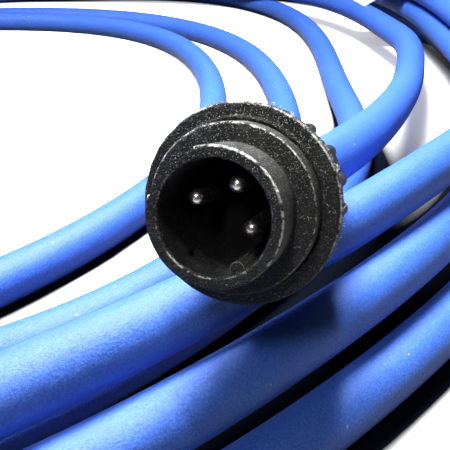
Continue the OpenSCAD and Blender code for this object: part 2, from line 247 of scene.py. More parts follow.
@dataclass
class CableRoute:
    """The centreline from the pin plug's tail, round all laps, to the socket plug's tail."""

    shape: LapShape
    from_coil: Sequence[Triple] = ((-6, -50, 0),)
    from_plug: Sequence[Triple] = ((58, 124, -20), (43, 86, -15), (29, 54, -10), (14, 24, -5))
    from_socket: Sequence[Triple] = ((-12, 12.5, -3.5), (-20.5, 26, -8))
    lead_steps: int = 12
    lap_steps: int = 120
    spacing: float = 6.0
    rounds: int = 14
    rings: list[Vector] = field(init=False)
    start: Vector = field(init=False)
    end: Vector = field(init=False)
    middle: Vector = field(init=False)

    def __post_init__(self) -> None:
        """Find the rings of the construction's coil, its two ends and the middle of its extent."""
        laps = self.shape.laps
        count = round(laps * self.shape.rings_per_lap)
        self.rings = [self.lap_point(laps * i / count) for i in range(count + 1)]
        self.start = self.rings[0] + CABLE_D * (self.rings[0] - self.rings[1]).normalized()
        self.end = self.rings[-1] + CABLE_D * (self.rings[-1] - self.rings[-2]).normalized()
        xs, ys, _ = zip(*(self.start, *self.rings, self.end))
        self.middle = Vector(((min(xs) + max(xs)) / 2, (min(ys) + max(ys)) / 2, 0))

    def out(self, steps: Sequence[float], at: float, lap: float) -> float:
        """Read one list of steps, whose first value counts at a share of lap 0."""
        return lookup(lap, [(i + at, step) for i, step in enumerate(steps)])

    def lift(self, lap: float) -> float:
        """Find the height that the tape below the outer laps adds.

        Args:
            lap: The place along the coil.

        Returns:
            The height in millimetres.
        """
        s = self.shape
        if lap < s.tie_first_lap or lap > s.tie_first_lap + s.tie_laps:
            return 0.0
        away = abs(lap - math.floor(lap) - s.tie_at) / s.tie_ramp
        return s.tie_lift * max(0.0, min(1.0, s.tie_crown * (1 - away)))

    def lap_point(self, lap: float) -> Vector:
        """Find a point of the coil.

        Args:
            lap: The place along the coil.

        Returns:
            The point from the first laps' own middle, in millimetres.
        """
        s = self.shape
        a = math.pi - 2 * math.pi * lap
        right, far = math.cos(a) > TINY, math.sin(a) > TINY
        reach_x = s.first_left + CABLE_D * self.out(s.left_out, 0, lap)
        corner = s.left_corner
        if right:
            reach_x = s.first_right + CABLE_D * self.out(s.right_out, s.right_at, lap)
            corner = (self.out(s.far_corner, s.far_corner_at, lap) if far
                      else self.out(s.near_corner, s.near_corner_at, lap))
        if far:
            reach_y = s.first_far + CABLE_D * self.out(s.far_out, s.far_at, lap)
        else:
            reach_y = s.first_near + CABLE_D * self.out(s.near_out, s.near_at, lap)
        full = 1 + corner * math.sin(2 * a) ** 2
        z = s.strand_z + s.rise * lookup(lap, s.climbs) + self.lift(lap)
        return Vector((reach_x * math.cos(a) * full, reach_y * math.sin(a) * full, z))

    def on_tube(self, lap: float) -> Vector:
        """Find the place on the straight run between two rings of the construction's tube.

        Args:
            lap: The place along the coil.

        Returns:
            The point from the first laps' own middle, in millimetres.
        """
        i = lap * (len(self.rings) - 1) / self.shape.laps
        k = math.floor(i)
        return self.rings[k].lerp(self.rings[k + 1], i - k)

    def points(self, male: PlugPlace, female: PlugPlace) -> list[Vector]:
        """Lay the whole centreline, evenly spaced and free of kinks.

        Args:
            male: Place of the pin plug.
            female: Place of the socket plug.

        Returns:
            Points in metres in the row's frame.
        """
        tail, sock = male.tail + self.middle, female.tail + self.middle
        away = (self.end - self.rings[-1]).normalized()
        back = (self.start - self.rings[0]).normalized()
        to_plug = spline([self.end - CABLE_D * away, self.end, self.end + CABLE_D * away,
                          *(self.end + Vector(p) for p in self.from_coil),
                          *(tail + Vector(p) for p in self.from_plug),
                          tail + CABLE_D * male.axis, tail, tail - CABLE_D * male.axis], self.lead_steps)
        to_sock = spline([sock - CABLE_D * female.axis, sock, sock + CABLE_D * female.axis,
                          *(sock + CABLE_D * female.axis + Vector(p) for p in self.from_socket),
                          self.start + CABLE_D * back, self.start, self.start - CABLE_D * back],
                         self.lead_steps)
        steps = round(self.shape.laps * self.lap_steps)
        laps = [self.lap_point(self.shape.laps * i / steps) for i in range(steps + 1)]
        line = even([*reversed(to_plug[1:-1]), *reversed(laps), *reversed(to_sock[1:-1])], self.spacing)
        return [(p - self.middle) * MM for p in eased(line, self.rounds)]


# ---------------------------------------------------------------- places of the plugs


def turned(x: float, y: float, z: float) -> Matrix:
    """Make a turn about X, then Y, then Z, in degrees."""
    return Euler([math.radians(a) for a in (x, y, z)], "XYZ").to_matrix()


@dataclass(frozen=True)
class PlugLay:
    """How the plugs lie, in millimetres and degrees: one on a lap of the coil, one on the floor."""

    rest_lap: float = 5.6284
    rest_back: float = 43.9
    above: float = 17.8
    heading: Triple = (0, 109.4, 70.3)
    roll: Triple = (0, 0, 259.8)
    nose_from_start: Triple = (100, -122, 0)
    flat: Triple = (90, 0, 233)

    def pin_plug(self, route: CableRoute) -> PlugPlace:
        """Lay the pin plug on the coil's lap, nose up.

        Args:
            route: The cable's route.

        Returns:
            The plug's place.
        """
        turn = turned(*self.heading) @ turned(*self.roll)
        axis = turn @ Vector((0, 0, 1))
        on_lap = route.on_tube(self.rest_lap)
        rim = on_lap - self.rest_back * axis + Vector((0, 0, self.above)) - route.middle
        return PlugPlace(rim, turn, MALE_BACK + PLUG_TAIL)

    def socket_plug(self, route: CableRoute) -> PlugPlace:
        """Lay the socket plug flat on the floor, latch up.

        Args:
            route: The cable's route.

        Returns:
            The plug's place.
        """
        rim = route.rings[0] + Vector(self.nose_from_start) - route.middle
        rim.z = FLANGE_R
        return PlugPlace(rim, turned(*self.flat), FEMALE_BACK + PLUG_TAIL)


# ---------------------------------------------------------------- mesh building


def mesh_object(name: str, verts: Sequence[Vector], faces: Sequence[Face],
                wear_and_lit_edge: Sequence[float] = ()) -> Piece:
    """Make a smooth-shaded mesh object, with a value on each corner point for its pale edges where given.

    Args:
        name: The piece's name.
        verts: Points in metres.
        faces: Corner numbers of each face.
        wear_and_lit_edge: How pale and chipped each point is, from 0 to 1: abrasion, and a painted highlight
            on the lit side.

    Returns:
        The new object, in the scene.
    """
    mesh = bpy.data.meshes.new(name)
    mesh.from_pydata([tuple(v) for v in verts], [], [tuple(f) for f in faces])
    mesh.validate()
    if wear_and_lit_edge:
        mesh.attributes.new("wear_and_lit_edge", "FLOAT", "POINT").data.foreach_set("value", list(wear_and_lit_edge))
    mesh.polygons.foreach_set("use_smooth", [True] * len(mesh.polygons))
    mesh.update()
    obj = bpy.data.objects.new(name, mesh)
    bpy.context.scene.collection.objects.link(obj)
    return obj


def quads(rows: int, count: int, closed: bool = True, looped: bool = False, flip: bool = False) -> list[Face]:
    """Join rows of points to four-sided faces.

    Args:
        rows: Number of rows.
        count: Points in each row.
        closed: Whether the last point of a row joins its first.
        looped: Whether the last row joins the first.
        flip: Whether the faces look the other way.

    Returns:
        Corner numbers of each face.
    """
    made = []
    for i in range(rows if looped else rows - 1):
        a, b = i * count, (i + 1) % rows * count
        for k in range(count if closed else count - 1):
            n = (k + 1) % count
            made.append((a + k, a + n, b + n, b + k) if flip else (a + k, b + k, b + n, a + n))
    return made


def settle(piece: Piece, material: Material, slot: Slot, *nodes: str) -> Piece:
    """Give a piece its finish and its body, and hide the nodes that it replaces.

    Args:
        piece: The piece.
        material: Its finish.
        slot: The record's slot that the finish stands for; not used.
        nodes: The construction's nodes that it replaces.

    Returns:
        The same piece.
    """
    piece.data.materials.append(material)
    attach(piece, Body.CABLE.value)
    if nodes:
        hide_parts(*nodes)
    return piece


def frames(points: Sequence[Vector]) -> list[tuple[Vector, Vector]]:
    """Find the sideways and the upward heading at each point of a line that is never upright.

    Args:
        points: The line.

    Returns:
        Both headings for each point.
    """
    made = []
    for i in range(len(points)):
        along = (points[min(i + 1, len(points) - 1)] - points[max(i - 1, 0)]).normalized()
        side = along.cross(Vector((0, 0, 1))).normalized()
        made.append((side, side.cross(along)))
    return made


def swept(name: str, points: Sequence[Vector], radius: Callable[[float, float], float], sides: int) -> Piece:
    """Sweep a round along a line, closed at both ends and kept above the floor.

    Args:
        name: The piece's name.
        points: The line, in metres.
        radius: Radius in metres from the share of the line and the angle.
        sides: Points round the line.

    Returns:
        The new tube.
    """
    verts = []
    for i, (p, (side, up)) in enumerate(zip(points, frames(points))):
        for k in range(sides):
            a = 2 * math.pi * k / sides
            r = radius(i / (len(points) - 1), a)
            spot = p + r * (math.cos(a) * side + math.sin(a) * up)
            verts.append(Vector((spot.x, spot.y, max(spot.z, 0.0))))
    ends = [tuple(range(sides)), tuple(len(verts) - 1 - k for k in range(sides))]
    return mesh_object(name, verts, [*quads(len(points), sides), *ends])


def layered(spot: Vector, layers: Sequence[Pair], level: float = 0.0) -> float:
    """Add layers of noise, each a strength and a fineness, to a level."""
    return sum((strength * noise.noise(spot * fine) for strength, fine in layers), level)


@dataclass(frozen=True)
class Edge:
    """A pale, chipped edge of a turned piece, at a radius and a distance along the axis, strongest between
    two angles: partly abrasion, partly a painted highlight on the side where the light falls.
    """

    r: float
    z: float
    wear_and_lit_edge: float = 1.0
    width: float = 0.22
    start: float = 0.0
    stop: float = 360.0
    outside: float = 0.12
    fade: float = 24.0

    def share(self, r: float, z: float, degrees: float) -> float:
        """Find how much of this edge's pallor, from abrasion and painted highlight, reaches a place.

        Args:
            r: Radius of the place.
            z: Its distance along the axis.
            degrees: Its angle.

        Returns:
            The share, from 0 to the edge's own strength.
        """
        near = math.exp(-(((r - self.r) ** 2 + (z - self.z) ** 2) / self.width ** 2))
        span = self.stop - self.start
        if span >= 360:
            return self.wear_and_lit_edge * near
        at = (degrees - self.start) % 360
        inside = min(at, span - at) if at <= span else -min(at - span, 360 - at)
        return self.wear_and_lit_edge * near * max(self.outside, min(1.0, 0.5 + inside / self.fade))


@dataclass(frozen=True)
class Turned:
    """A piece turned from a closed outline in millimetres, then chipped at its pale edges, which carry a
    painted highlight too.
    """

    outline: Sequence[Pair]
    edges: Sequence[Edge]
    fine: float
    segments: int
    chip: float
    patches: Sequence[Pair] = ((0.85, 1.1), (0.6, 4.3))
    patch_level: float = 0.45
    wear_and_lit_gain: float = 1.5
    crumbs: Sequence[Pair] = ((1.0, 2.3), (0.6, 5.1))
    chip_in: float = 0.5
    chip_back: float = 0.4

    def loop(self) -> list[Pair]:
        """Cut the outline into short runs.

        Returns:
            Radius and distance of each point.
        """
        made = []
        for (r0, z0), (r1, z1) in zip(self.outline, [*self.outline[1:], self.outline[0]]):
            cuts = max(1, round(math.hypot(r1 - r0, z1 - z0) / self.fine))
            made += [(r0 + (r1 - r0) * j / cuts, z0 + (z1 - z0) * j / cuts) for j in range(cuts)]
        return made

    def wear_and_lit_edge(self, r: float, z: float, degrees: float, spot: Vector) -> float:
        """Find how pale and chipped a place is, from abrasion and painted highlight: full at an edge, broken
        up by noise.

        Args:
            r: Radius of the place.
            z: Its distance along the axis.
            degrees: Its angle.
            spot: The same place as a point.

        Returns:
            The wear, from 0 to 1.
        """
        most = max(edge.share(r, z, degrees) for edge in self.edges)
        return max(0.0, min(1.0, most * layered(spot, self.patches, self.patch_level) * self.wear_and_lit_gain))

    def build(self, name: str, place: PlugPlace, shape: Profile) -> Piece:
        """Turn the outline into a mesh.

        Args:
            name: The piece's name.
            place: Where it lies.
            shape: Changes a radius and distance at an angle in degrees, for recesses and ribs.

        Returns:
            The new object.
        """
        verts, wear_and_lit_edges, loop = [], [], self.loop()
        for k in range(self.segments):
            degrees = 360 * k / self.segments
            c, s = math.cos(math.radians(degrees)), math.sin(math.radians(degrees))
            for r, z in loop:
                r2, z2 = shape(r, z, degrees)
                spot = Vector((r2 * c, r2 * s, z2))
                wear_and_lit_edge = self.wear_and_lit_edge(r, z, degrees, spot)
                rough = layered(spot, self.crumbs)
                r2 -= self.chip * wear_and_lit_edge * (self.chip_in + rough)
                z2 += 0.5 * self.chip * wear_and_lit_edge * (self.chip_back + rough)
                verts.append(place.world(Vector((r2 * c, r2 * s, z2))))
                wear_and_lit_edges.append(wear_and_lit_edge)
        return mesh_object(name, verts, quads(self.segments, len(loop), looped=True), wear_and_lit_edges)


# ---------------------------------------------------------------- finishes


class Shader:
    """A small builder for node materials."""

    MIX_IN = (6, 7)
    MIX_OUT = 2
    FLECK_CORE = 0.6

    def __init__(self, name: str, color: Triple, rough: float, **sockets: float) -> None:
        """Start a material.

        Args:
            name: The material's name.
            color: Its plain colour.
            rough: Its plain roughness.
            sockets: Other numbers of the surface, by the socket's name.
        """
        self.material = bpy.data.materials.new(name)
        self.material.use_nodes = True
        self.nodes = self.material.node_tree.nodes
        self.links = self.material.node_tree.links
        self.body = self.nodes["Principled BSDF"]
        self.body.inputs["Base Color"].default_value = (*color, 1)
        self.body.inputs["Roughness"].default_value = rough
        for key, value in sockets.items():
            self.body.inputs[key.replace("_", " ")].default_value = value

    def node(self, kind: str, **settings: object) -> bpy.types.Node:
        """Add a node.

        Args:
            kind: The node's type.
            settings: Its properties, and its inputs by in_ and their number or name.

        Returns:
            The new node.
        """
        made = self.nodes.new(kind)
        for key, value in settings.items():
            if key.startswith("in_"):
                name = key[3:]
                made.inputs[int(name) if name.isdigit() else name.replace("_", " ")].default_value = value
            else:
                setattr(made, key, value)
        return made

    def link(self, out: Socket, into: Union[Socket, str]) -> None:
        """Join an output to an input, which may be named if it is the surface's own."""
        self.links.new(out, self.body.inputs[into] if isinstance(into, str) else into)

    def place(self, rotation: Triple = (0, 0, 0), location: Triple = (0, 0, 0)) -> Socket:
        """Give coordinates of the piece, seen from a place with its own turn.

        Args:
            rotation: The turn, in radians.
            location: The place, in metres.

        Returns:
            The coordinates.
        """
        coords = self.node("ShaderNodeTexCoord")
        mapping = self.node("ShaderNodeMapping", vector_type="TEXTURE", in_Rotation=rotation,
                            in_Location=location)
        self.link(coords.outputs["Object"], mapping.inputs["Vector"])
        return mapping.outputs["Vector"]

    def grain(self, vector: Socket, scale: float, detail: float = 3, rough: float = 0.6) -> Socket:
        """Make even noise.

        Args:
            vector: Coordinates.
            scale: How fine it is.
            detail: Its finer layers.
            rough: How strong those are.

        Returns:
            A value from 0 to 1.
        """
        made = self.node("ShaderNodeTexNoise", in_Scale=scale, in_Detail=detail, in_Roughness=rough)
        self.link(vector, made.inputs["Vector"])
        return made.outputs["Fac"]

    def flecks(self, vector: Socket, scale: float, size: float) -> Socket:
        """Make small separate spots.

        Args:
            vector: Coordinates.
            scale: How close together they lie.
            size: How far each reaches, as a share of the room it has.

        Returns:
            A value that is 1 inside a spot.
        """
        made = self.node("ShaderNodeTexVoronoi", in_Scale=scale, in_Randomness=1.0)
        self.link(vector, made.inputs["Vector"])
        return self.ramp(made.outputs["Distance"], size * self.FLECK_CORE, size, 1, 0)

    def ramp(self, value: Socket, low: float, high: float, start: float = 0, stop: float = 1) -> Socket:
        """Spread a range of values over another, held at its ends.

        Args:
            value: The value.
            low: Where the range starts.
            high: Where it ends.
            start: What low becomes.
            stop: What high becomes.

        Returns:
            The new value.
        """
        made = self.node("ShaderNodeMapRange", in_1=low, in_2=high, in_3=start, in_4=stop)
        self.link(value, made.inputs[0])
        return made.outputs[0]

    def math(self, op: Op, first: Union[Socket, float], second: Union[Socket, float]) -> Socket:
        """Work out a value from two, either of which may be a number.

        Args:
            op: The way.
            first: One value.
            second: The other.

        Returns:
            The new value.
        """
        made = self.node("ShaderNodeMath", operation=op.value, use_clamp=op is not Op.MOST)
        for socket, value in zip(made.inputs, (first, second)):
            if isinstance(value, (int, float)):
                socket.default_value = value
            else:
                self.link(value, socket)
        return made.outputs[0]

    def mix(self, share: Socket, first: Union[Socket, Triple], second: Union[Socket, Triple]) -> Socket:
        """Blend two colours.

        Args:
            share: How much of the second shows.
            first: A colour.
            second: Another.

        Returns:
            The blended colour.
        """
        made = self.node("ShaderNodeMix", data_type="RGBA")
        self.link(share, made.inputs[0])
        for number, value in zip(self.MIX_IN, (first, second)):
            if isinstance(value, tuple):
                made.inputs[number].default_value = (*value, 1)
            else:
                self.link(value, made.inputs[number])
        return made.outputs[self.MIX_OUT]

    def bump(self, height: Socket, strength: float, distance: float) -> None:
        """Raise the surface.

        Args:
            height: A value from 0 to 1.
            strength: How much of it counts.
            distance: Its full height in metres.
        """
        made = self.node("ShaderNodeBump", in_Strength=strength, in_Distance=distance)
        self.link(height, made.inputs["Height"])
        self.link(made.outputs["Normal"], "Normal")

    def attribute(self, name: str) -> Socket:
        """Read a value that the mesh carries."""
        return self.node("ShaderNodeAttribute", attribute_name=name).outputs["Fac"]


@dataclass(frozen=True)
class Tint:
    """A colour laid over another where a value runs through a range."""

    color: Triple
    low: float
    high: float
    start: float = 0.0
    stop: float = 1.0

    def over(self, s: Shader, value: Socket, base: Union[Socket, Triple]) -> Socket:
        """Lay the colour over a base."""
        return s.mix(s.ramp(value, self.low, self.high, self.start, self.stop), base, self.color)


@dataclass(frozen=True)
class Flecks:
    """Small spots of one colour that gather in patches."""

    color: Triple
    scale: float
    size: float
    patch_scale: float
    patch_detail: float
    low: float = 0.52
    high: float = 0.58

    def share(self, s: Shader, here: Socket) -> Socket:
        """Find where the spots are.

        Args:
            s: The material.
            here: Coordinates.

        Returns:
            A value that is 1 inside a spot.
        """
        patch = s.ramp(s.grain(here, self.patch_scale, self.patch_detail), self.low, self.high)
        return s.math(Op.TIMES, s.flecks(here, self.scale, self.size), patch)


@dataclass(frozen=True)
class Jacket:
    """Matte blue jacket with a sandy grain, slow changes of tone, scuffs along it and a few pale specks."""

    ground: Triple = (0.043, 0.145, 0.62)
    tone: Tint = Tint((0.060, 0.185, 0.72), 0.35, 0.7)
    pits: Tint = Tint((0.017, 0.066, 0.38), 0.56, 0.40, 0, 0.62)
    tips: Tint = Tint((0.12, 0.30, 0.90), 0.55, 0.72, 0, 0.4)
    scuffs: Tint = Tint((0.09, 0.25, 0.80), 0.55, 0.75, 0, 0.25)
    clouds: Tint = Tint((0.018, 0.07, 0.44), 0.42, 0.28, 0, 0.35)
    specks: Flecks = Flecks((0.42, 0.46, 0.56), 210, 0.07, 60, 1)
    gloss: Sequence[float] = (0.3, 0.7, 0.36, 0.6)
    tone_scale: float = 14
    sand_scale: float = 2300
    cloud_scale: float = 520
    cloud_height: float = 0.4
    lift: Pair = (0.55, 0.0004)

    def material(self) -> Material:
        """Make the finish.

        Returns:
            The new material.
        """
        s = Shader("blue_jacket", (0.06, 0.18, 0.72), 0.5, Specular_IOR_Level=0.55)
        here = s.place()
        sand = s.grain(here, self.sand_scale, 3, 0.75)
        cloudy = s.grain(here, self.cloud_scale, 4, 0.7)
        base = self.tone.over(s, s.grain(here, self.tone_scale), self.ground)
        for value, tints in ((sand, (self.pits, self.tips)), (cloudy, (self.scuffs, self.clouds))):
            for tint in tints:
                base = tint.over(s, value, base)
        s.link(s.mix(self.specks.share(s, here), base, self.specks.color), "Base Color")
        s.link(s.ramp(sand, *self.gloss), "Roughness")
        s.bump(s.math(Op.PLUS, sand, s.math(Op.TIMES, cloudy, self.cloud_height)), *self.lift)
        return s.material


@dataclass(frozen=True)
class WornPlasticPaintedLight:
    """Black moulded plastic with a sandy face, pale edges from abrasion with a painted highlight on the lit
    side, dust flecks that thicken upwards as painted top light, and rub marks.
    """

    ground: Triple = (0.0016, 0.0016, 0.0018)
    sandy: Tint = Tint((0.075, 0.075, 0.071), 0.52, 0.66)
    dull: Tint = Tint((0.003, 0.003, 0.0035), 0.35, 0.65, 0.8, 0)
    # Pale flecks of dust, thickened towards the top as painted top light
    dust_and_top_light: Flecks = Flecks((0.62, 0.62, 0.59), 3900, 0.30, 1500, 2, 0.40, 0.56)
    bits: Flecks = Flecks((0.6, 0.6, 0.58), 1700, 0.13, 420, 1)
    # Pale edge colour: abrasion, and on the side where the light falls a painted highlight
    rubbed_and_lit_edge: Tint = Tint((0.52, 0.51, 0.46), 0.12, 0.6)
    rubbed_and_lit_break: Sequence[float] = (0.35, 0.6, 0.45, 1.2)
    streak: Triple = (0.16, 0.16, 0.15)
    streak_scale: Triple = (260, 4200, 260)
    streak_turn: float = 25
    streak_lines: Sequence[float] = (0.52, 0.68, 0, 0.35)
    streak_patch: Sequence[float] = (0.50, 0.60)
    patch_scale: float = 130
    sand_scale: float = 3600
    coarse_scale: float = 900
    coarse_height: float = 0.5
    gloss: Sequence[float] = (0.3, 0.7, 0.38, 0.7)
    lift: Pair = (0.8, 0.0003)
    # Heights from the rim's middle, in metres, between which the pale flecks go from their least to full:
    # painted top light over flecks of real dust
    top_light_from: float = 0.002
    top_light_to: float = 0.011
    top_light_least: float = 0.2

    def streaks(self, s: Shader, own: Socket) -> Socket:
        """Draw the rub marks.

        Args:
            s: The material.
            own: The plug's own coordinates.

        Returns:
            A value that is 0 where there is no mark.
        """
        turned_in = s.node("ShaderNodeMapping", vector_type="POINT", in_Scale=self.streak_scale,
                           in_Rotation=(0, 0, math.radians(self.streak_turn)))
        s.link(own, turned_in.inputs["Vector"])
        lines = s.ramp(s.grain(turned_in.outputs["Vector"], 1, 2, 0.5), *self.streak_lines)
        return s.math(Op.TIMES, lines, s.ramp(s.grain(own, self.patch_scale, 1), *self.streak_patch))

    def material(self, name: str, place: PlugPlace) -> Material:
        """Make the finish.

        Args:
            name: The material's name.
            place: Place of the plug, whose upper side gets more pale flecks as painted top light.

        Returns:
            The new material.
        """
        s = Shader(name, (0.01, 0.01, 0.011), 0.5, Specular_IOR_Level=0.3)
        here = s.place()
        own = s.place(tuple(place.turn.to_euler("XYZ")), tuple(place.rim * MM))
        sand = s.grain(here, self.sand_scale, 3, 0.75)
        coarse = s.grain(here, self.coarse_scale)
        height = s.node("ShaderNodeSeparateXYZ")
        s.link(here, height.inputs[0])
        rim_z = place.rim.z * MM
        # Painted top light: the pale flecks thicken towards the plug's upper side, where the light falls
        painted_top_light = s.ramp(height.outputs["Z"], rim_z - self.top_light_from, rim_z + self.top_light_to, self.top_light_least, 1)
        base = self.dull.over(s, coarse, self.sandy.over(s, sand, self.ground))
        base = s.mix(s.math(Op.TIMES, self.dust_and_top_light.share(s, here), painted_top_light), base, self.dust_and_top_light.color)
        base = s.mix(self.bits.share(s, here), base, self.bits.color)
        base = s.mix(self.streaks(s, own), base, self.streak)
        # Pale edges: abrasion, with a painted highlight where the edge values keep to the lit side
        wear_and_lit_edges = s.math(Op.TIMES, s.attribute("wear_and_lit_edge"), s.ramp(sand, *self.rubbed_and_lit_break))
        s.link(self.rubbed_and_lit_edge.over(s, wear_and_lit_edges, base), "Base Color")
        s.link(s.ramp(sand, *self.gloss), "Roughness")
        s.bump(s.math(Op.PLUS, sand, s.math(Op.TIMES, coarse, self.coarse_height)), *self.lift)
        return s.material


@dataclass(frozen=True)
class PlainFinish:
    """A plain finish with a little variation of tone and a fine surface."""

    name: str
    color: Triple
    rough: float
    metal: float = 0.0
    grain: float = 800.0
    lift: float = 0.15
    shine: float = 0.5
    tone_scale: float = 90
    darkest: float = 0.8
    smoothest: float = 0.85
    roughest: float = 1.2
    height: float = 0.0002

    def material(self) -> Material:
        """Make the finish.

        Returns:
            The new material.
        """
        s = Shader(self.name, self.color, self.rough, Metallic=self.metal, Specular_IOR_Level=self.shine)
        here = s.place()
        tone = Tint(self.color, 0.3, 0.7)
        darker = tuple(self.darkest * c for c in self.color)
        s.link(tone.over(s, s.grain(here, self.tone_scale), darker), "Base Color")
        fine = s.grain(here, self.grain)
        most = min(1, self.rough * self.roughest)
        s.link(s.ramp(fine, 0.3, 0.7, self.rough * self.smoothest, most), "Roughness")
        s.bump(fine, self.lift, self.height)
        return s.material


@dataclass(frozen=True)
class FloorFinish:
    """White floor that the camera sees fully bright but for painted shade in the gaps deep in the coil."""

    white: Tint = Tint((1.3, 1.3, 1.32), 0.455, 0.60)
    # Painted shade: the colour the camera sees where little sky reaches the floor, in the gaps between the
    # laps
    gap: Triple = (0.003, 0.004, 0.008)
    bounce: Triple = (0.05, 0.05, 0.055)
    mirrored: float = 0.25
    glow: float = 0.45

    def material(self) -> Material:
        """Make the finish.

        Returns:
            The new material.
        """
        s = Shader("white_floor", (0.5, 0.5, 0.5), 0.9, Specular_IOR_Level=0.0)
        path = s.node("ShaderNodeLightPath").outputs
        mirrored = s.math(Op.MOST, path["Is Glossy Ray"], path["Is Transmission Ray"])
        seen = s.math(Op.MOST, path["Is Camera Ray"], s.math(Op.TIMES, mirrored, self.mirrored))
        sky = s.attribute("sky")
        s.link(s.mix(seen, self.bounce, self.white.over(s, sky, self.gap)), "Base Color")
        # The glow is held back too where the sky share is low, so the gaps keep their painted shade
        open_floor = s.ramp(sky, self.white.low, self.white.high)
        s.link(s.math(Op.TIMES, s.math(Op.TIMES, seen, open_floor), self.glow), "Emission Strength")
        return s.material


# ---------------------------------------------------------------- pieces


def within(angle: float, start: float, stop: float) -> bool:
    """Tell whether an angle in degrees lies in a range that may pass 360."""
    return (angle - start) % 360 <= (stop - start) % 360


@dataclass(frozen=True)
class Grip:
    """The ribbed grip that both plugs have, from the back of the shell."""

    place: PlugPlace
    back: float
    core: float = GRIP_R - 1
    skin: float = 1.2
    ribs: int = 18
    rib_r: float = 1.15
    rib_start: float = 1.8
    rib_end: float = 13.6
    rib_ease: float = 1.2
    fine: float = 0.3
    segments: int = 540
    chip: float = 0.14

    def shape(self, r: float, z: float, degrees: float) -> Pair:
        """Raise the ribs out of the plain round.

        Args:
            r: Radius of a place.
            z: Its distance along the axis.
            degrees: Its angle.

        Returns:
            The new radius and distance.
        """
        along = z - self.back
        if r < GRIP_R - self.skin or not self.rib_start <= along <= self.rib_end:
            return r, z
        half = 180 / self.ribs
        off = ((degrees - 270 + half) % (360 / self.ribs)) - half
        across = abs(math.radians(off)) * (GRIP_R - self.rib_r)
        if across >= self.rib_r:
            return r, z
        ease = min(1.0, max(0.0, (self.rib_end - along) / self.rib_ease))
        return max(r, GRIP_R - self.rib_r + math.sqrt(self.rib_r ** 2 - across ** 2) * ease), z

    def build(self, name: str) -> Piece:
        """Turn the grip: flange with its groove, ribbed body, taper and bore.

        Args:
            name: The piece's name.

        Returns:
            The new object.
        """
        core, flange = self.core, FLANGE_R
        profile = [(11.05, 0), (12.42, 0), (12.62, -0.22), (12.85, -0.22), (13.02, 0), (flange - 0.35, 0),
                   (flange - 0.1, 0.1), (flange, 0.35), (flange, 1.7), (core, 2.1), (core, 13.4),
                   (core - 0.5, 14.2), (12.4, 16.4), (12, 18), (10.2, 32.6), (9.6, 33.4), (8.65, 33.4),
                   (8.65, 32.2), (9.3, 31.6), (9.3, 13), (11.05, 13)]
        # Pale edges, strongest on the side where the light falls: partly abrasion, partly painted highlight
        edges = [Edge(flange - 0.1, self.back + 0.1, 0.6, 0.2, 190, 400),
                 Edge(12.7, self.back - 0.22, 0.3, 0.12, 200, 420)]
        outline = [(r, self.back + z) for r, z in profile]
        turned_grip = Turned(outline, edges, self.fine, self.segments, self.chip)
        return turned_grip.build(name, self.place, self.shape)


